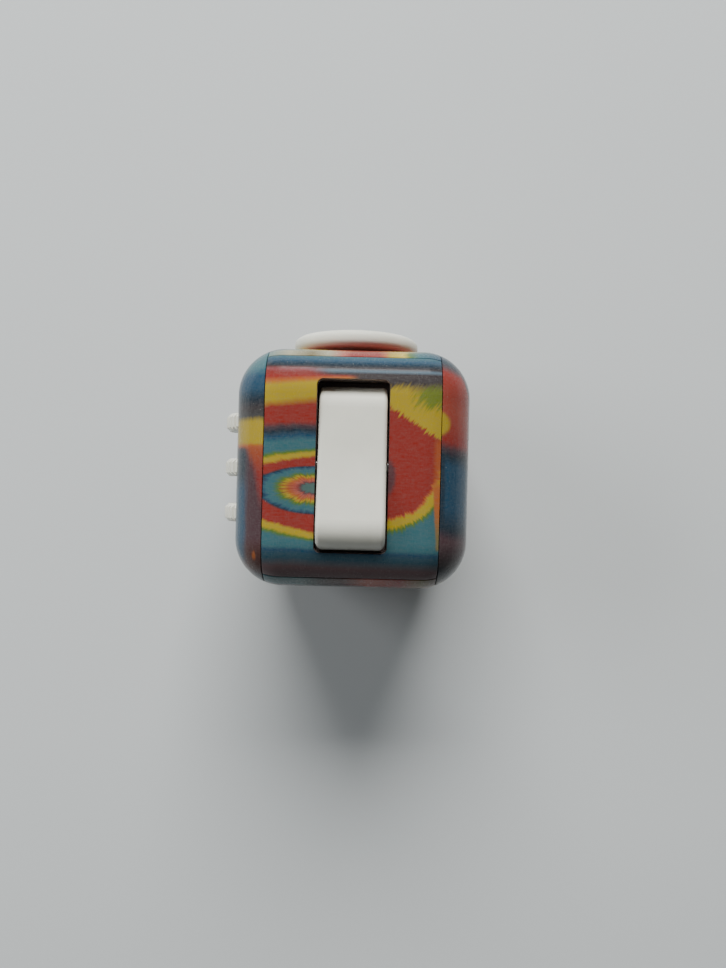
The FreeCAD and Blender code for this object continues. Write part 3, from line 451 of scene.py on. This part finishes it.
def white_material(name, tone, seed):
    """Off-white moulded plastic: soft sheen, tiny scratches, random grime, and painted shade
    darkening the hollows.
    """
    material, tree, shader, place, (x, y, z) = start(name)
    cloud = noise(tree, place, 0.22, 3.0, 0.55)
    grime = noise(tree, vector(tree, x * 1.3 + seed, y * 0.4, z * 1.3), 1.1, 5.0, 0.7)
    scratch = noise(tree, vector(tree, x * 0.7 + seed, y * 9.0, z * 4.0), 0.8, 3.0, 0.6)
    dull = tuple(value * 0.86 for value in tone)
    colour = mix(tree, cloud.step(0.3, 0.75) * 0.35, tone, dull)
    colour = mix(tree, grime.step(0.64, 0.76) * 0.22, colour, (0.30, 0.28, 0.24))
    # Painted shade: concave spots (low pointiness) are darkened as if shade gathered in the hollows.
    geometry = tree.nodes.new("ShaderNodeNewGeometry")
    edge = Field(tree, geometry.outputs["Pointiness"])
    colour = mix(tree, edge.step(0.47, 0.40) * 0.35, colour, (0.28, 0.26, 0.22))
    tree.links.new(colour.socket, shader.inputs["Base Color"])
    rough = 0.34 + scratch.step(0.5, 0.8) * 0.18 + (cloud - 0.5) * 0.12
    tree.links.new(rough.socket, shader.inputs["Roughness"])
    shader.inputs["IOR"].default_value = 1.49
    shader.inputs["Subsurface Weight"].default_value = 0.06
    shader.inputs["Subsurface Radius"].default_value = (0.0012, 0.0010, 0.0008)
    shader.inputs["Subsurface Scale"].default_value = 1.0
    relief = scratch * 0.5 + cloud * 0.5
    bump(tree, shader, relief, 0.00004, 0.35)
    return material


def inner_material(name, tone):
    """Matt dark moulding with fine spark-eroded texture."""
    material, tree, shader, place, (x, y, z) = start(name)
    grain = noise(tree, place, 7.0, 3.0, 0.6)
    cloud = noise(tree, place, 0.3, 3.0, 0.6)
    colour = mix(tree, cloud, tone, tuple(value * 1.3 + 0.01 for value in tone))
    tree.links.new(colour.socket, shader.inputs["Base Color"])
    tree.links.new((0.55 + grain * 0.25).socket, shader.inputs["Roughness"])
    bump(tree, shader, grain, 0.00003, 0.5)
    return material


def steel_material(name, tone, rough_base):
    """Turned or drawn steel with fine circular marks."""
    material, tree, shader, place, (x, y, z) = start(name)
    marks = noise(tree, vector(tree, x * 6.0, y * 0.8, z * 6.0), 2.0, 4.0, 0.6)
    cloud = noise(tree, place, 0.6, 3.0, 0.6)
    colour = mix(tree, cloud * 0.5, tone, tuple(value * 0.7 for value in tone))
    tree.links.new(colour.socket, shader.inputs["Base Color"])
    shader.inputs["Metallic"].default_value = 1.0
    tree.links.new((rough_base + marks * 0.2).socket, shader.inputs["Roughness"])
    bump(tree, shader, marks, 0.00002, 0.5)
    return material


def silicone_material(name):
    """Soft grey silicone, faintly translucent."""
    material, tree, shader, place, (x, y, z) = start(name)
    cloud = noise(tree, place, 0.8, 3.0, 0.6)
    colour = mix(tree, cloud, (0.30, 0.30, 0.28), (0.42, 0.41, 0.38))
    tree.links.new(colour.socket, shader.inputs["Base Color"])
    tree.links.new((0.5 + cloud * 0.2).socket, shader.inputs["Roughness"])
    shader.inputs["Subsurface Weight"].default_value = 0.2
    shader.inputs["Subsurface Radius"].default_value = (0.001, 0.001, 0.001)
    bump(tree, shader, cloud, 0.00003, 0.4)
    return material


SHELL = {
    "top_panel": dye_top, "left_cap": dye_left, "right_cap": dye_right,
    "back_panel": dye_back, "front_panel": dye_front, "bottom_panel": dye_bottom,
}


def dress(name, material):
    """Put one material on every slot of a CAD node."""
    thing = NODES[name]
    for spot in thing.material_slots:
        spot.material = material
    if not thing.material_slots:
        thing.data.materials.append(material)


SLOT = {row["node"]: row["material_slot"] for row in frame["record"]["subparts"]}
BY_SLOT = {
    "white_plastic": white_material("white_plastic", (0.70, 0.70, 0.615), 3.0),
    # The inner moulding's tone is lifted well above a dark moulding: painted bounce light in the
    # shaded gaps round the rocker.
    "inner_plastic": inner_material("inner_plastic", (0.30, 0.245, 0.23)),
    "steel": steel_material("steel", (0.55, 0.55, 0.54), 0.22),
    "spring_steel": steel_material("spring_steel", (0.45, 0.45, 0.46), 0.30),
    "silicone": silicone_material("silicone"),
}
for index, (name, dye) in enumerate(SHELL.items()):
    dress(name, shell_material(name + "_dye", dye, 2.0 + index))
for name, slot_name in SLOT.items():
    if slot_name in BY_SLOT:
        dress(name, BY_SLOT[slot_name])


# ---------------------------------------------------------------- floor, light, camera

def paper_material():
    """Plain pale paper."""
    material, tree, shader, place, (x, y, z) = start("paper")
    fibre = noise(tree, place, 0.9, 5.0, 0.65)
    cloud = noise(tree, place, 0.02, 2.0, 0.5)
    colour = mix(tree, cloud, (0.585, 0.62, 0.63), (0.615, 0.645, 0.65))
    colour = mix(tree, fibre * 0.12, colour, (0.56, 0.58, 0.58))
    tree.links.new(colour.socket, shader.inputs["Base Color"])
    shader.inputs["Roughness"].default_value = 0.85
    bump(tree, shader, fibre, 0.00005, 0.25)
    return material


bpy.ops.mesh.primitive_plane_add(size=2.4, location=(0, 0, 0))
floor = bpy.context.object
floor.name = "paper_floor"
floor.data.materials.append(paper_material())


SOFT_WHITE = (0.97, 0.985, 1.0)
ROOM_GLOW = 0.06         # strength of the room overhead
HORIZON_GLOW = 0.20      # extra strength along the horizon
HORIZON_UP = 0.10        # height of the pale band, as the sine of its elevation
ROOM_DARK_UP = 0.32      # height above which the room is evenly dim


def area_light(name, place, aim, width, height, power, colour):
    """Soft rectangular light, sizes in metres and power in watts, that faces a point."""
    data = bpy.data.lights.new(name, "AREA")
    data.shape = "RECTANGLE"
    data.size = width
    data.size_y = height
    data.energy = power
    data.color = colour
    light = bpy.data.objects.new(name, data)
    bpy.context.scene.collection.objects.link(light)
    light.location = place
    light.rotation_euler = (Vector(aim) - Vector(place)).to_track_quat("-Z", "Y").to_euler()
    return light


window = area_light("window", (-0.03, 0.80, 0.56), (0, 0, 0.01), 0.70, 0.42, 18.8, (1.0, 0.99, 0.97))
side = area_light("side_window", (-0.78, 0.26, 0.46), (0, 0, 0), 0.50, 0.40, 4.2, SOFT_WHITE)
area_light("window_sill", (0.02, 0.88, 0.40), (0, 0, 0.03), 0.46, 0.06, 1.0, (0.97, 0.99, 1.0))
for light in (window, side):
    light.visible_glossy = False


def studio_world():
    """Dim room overhead with a paler band along the horizon."""
    world = bpy.data.worlds.new("studio")
    bpy.context.scene.world = world
    world.use_nodes = True
    tree = world.node_tree
    coords = tree.nodes.new("ShaderNodeTexCoord")
    split = tree.nodes.new("ShaderNodeSeparateXYZ")
    tree.links.new(coords.outputs["Generated"], split.inputs[0])
    height = Field(tree, split.outputs[2])
    glow = height.step(ROOM_DARK_UP, HORIZON_UP) * HORIZON_GLOW + ROOM_GLOW
    shade = tree.nodes["Background"]
    shade.inputs[0].default_value = (0.90, 0.94, 0.97, 1.0)
    tree.links.new(glow.socket, shade.inputs[1])


studio_world()

SENSOR = 36.0            # sensor height of an upright picture, mm
LENS = 27.04             # focal length, mm
CAMERA_UP = 97.6         # camera above the top face, mm
CAMERA_RIGHT = 1.5       # camera beside the cube's axis, mm
CAMERA_BACK = 2.4        # camera towards the dimple face, mm
ROLL = math.radians(1.4)
RIGHT = Vector((math.cos(ROLL), math.sin(ROLL), 0))
UP = Vector((-math.sin(ROLL), math.cos(ROLL), 0))
camera_data = bpy.data.cameras.new("camera")
camera = bpy.data.objects.new("camera", camera_data)
bpy.context.scene.collection.objects.link(camera)
camera_data.sensor_width = SENSOR
camera_data.lens = LENS
camera_data.clip_start = 0.005
camera_data.clip_end = 20.0
beside = (CAMERA_RIGHT * MM) * RIGHT + (-CAMERA_BACK * MM) * UP
camera.location = beside + Vector((0, 0, (TOP_Z + CAMERA_UP) * MM))
camera.rotation_euler = (0, 0, ROLL)
bpy.context.scene.camera = camera
